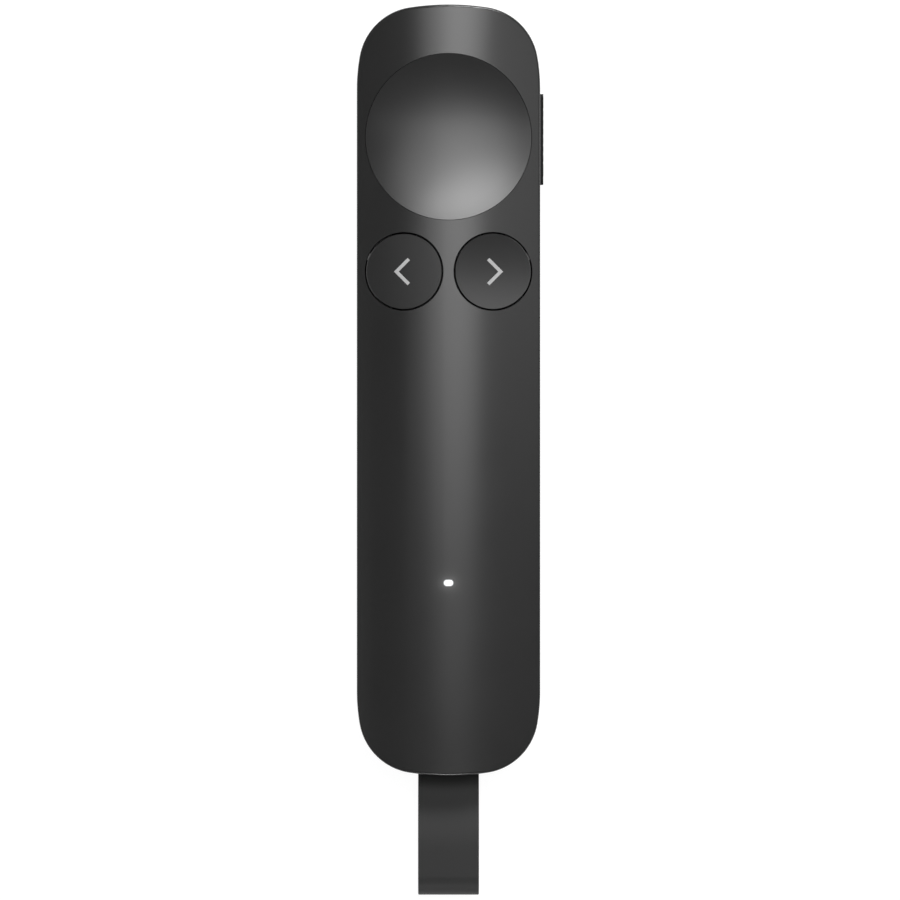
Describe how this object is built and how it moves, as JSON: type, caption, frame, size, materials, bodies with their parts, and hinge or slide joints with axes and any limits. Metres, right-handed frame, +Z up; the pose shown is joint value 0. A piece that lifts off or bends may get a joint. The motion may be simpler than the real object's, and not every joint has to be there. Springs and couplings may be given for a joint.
{
  "type": "wireless presentation clicker",
  "caption": "Slim crowned wireless presentation clicker with a large dished pointer button, back and next keys, side power slider, status light, and a strap on its stowed receiver.",
  "frame": {"origin": "centre of the flat sole, at the middle of the body's length and width, strap left out", "axes": "+Y runs to the nose that points at the screen, +Z up out of the buttons, +X to the right side, which has the power slider"},
  "size_m": [0.0316, 0.1506, 0.013],
  "materials": {
    "graphite_shell": "fine satin",
    "button_plastic": "fine satin",
    "knob_plastic": "satin, ribbed",
    "black_trim": "satin",
    "receiver_plastic": "satin",
    "frame_plastic": "satin",
    "screw_steel": "turned",
    "board": "solder mask",
    "switch_body": "moulded",
    "switch_stem": "moulded",
    "light_guide": "polished clear resin",
    "led": "phosphor cap",
    "battery_wrap": "laminated foil pouch",
    "foam": "foam",
    "wire_jacket": "jacketed wire",
    "motor_can": "stamped",
    "shield_tin": "tinned",
    "chip_black": "moulded",
    "laser_brass": "turned",
    "lead_metal": "tinned wire",
    "window_clear": "polished clear resin",
    "port_steel": "plated",
    "contact_plastic": "moulded",
    "contact_gold": "gold flash",
    "strap_band": "smooth moulded band"
  },
  "bodies": {
    "housing": {"bottom_cover": "graphite_shell", "top_cover": "graphite_shell", "key_frame": "frame_plastic", "frame_screws": "screw_steel", "main_board": "board", "board_screws": "screw_steel", "pointer_switch": "switch_body", "back_switch": "switch_body", "next_switch": "switch_body", "side_bezel": "black_trim", "power_switch": "switch_body", "light_pipe": "light_guide", "status_led": "led", "battery": "battery_wrap", "battery_pad": "foam", "battery_leads": "wire_jacket", "vibration_motor": "motor_can", "radio_shield": "shield_tin", "radio_chip": "chip_black", "board_chips": "chip_black", "laser_barrel": "laser_brass", "laser_pins": "lead_metal", "laser_window": "window_clear", "receiver_dock": "black_trim", "charging_port": "port_steel", "charging_port_tongue": "contact_plastic"},
    "pointer": {"pointer_button": "button_plastic", "pointer_switch_stem": "switch_stem"},
    "back": {"back_button": "button_plastic", "back_switch_stem": "switch_stem"},
    "next": {"next_button": "button_plastic", "next_switch_stem": "switch_stem"},
    "power_slider": {"power_knob": "knob_plastic", "power_switch_lever": "switch_stem"},
    "receiver": {"receiver_grip": "receiver_plastic", "receiver_plug": "port_steel", "receiver_tongue": "contact_plastic", "receiver_contacts": "contact_gold", "strap_bar": "screw_steel", "strap_loop": "strap_band"}
  },
  "joints": [
    {"name": "pointer_press", "type": "slide", "parent": "housing", "child": "pointer", "axis": [0, 0, -1], "range_m": [0, 0.0003], "stiffness_N_per_m": 1000, "springref_m": -0.0008},
    {"name": "back_press", "type": "slide", "parent": "housing", "child": "back", "axis": [0, 0, -1], "range_m": [0, 0.0003], "stiffness_N_per_m": 1000, "springref_m": -0.0008},
    {"name": "next_press", "type": "slide", "parent": "housing", "child": "next", "axis": [0, 0, -1], "range_m": [0, 0.0003], "stiffness_N_per_m": 1000, "springref_m": -0.0008},
    {"name": "power_slide", "type": "slide", "parent": "housing", "child": "power_slider", "axis": [0, -1, 0], "range_m": [0, 0.00105]},
    {"name": "receiver_pull", "type": "slide", "parent": "housing", "child": "receiver", "axis": [0, -1, 0], "range_m": [0, 0.022]}
  ]
}
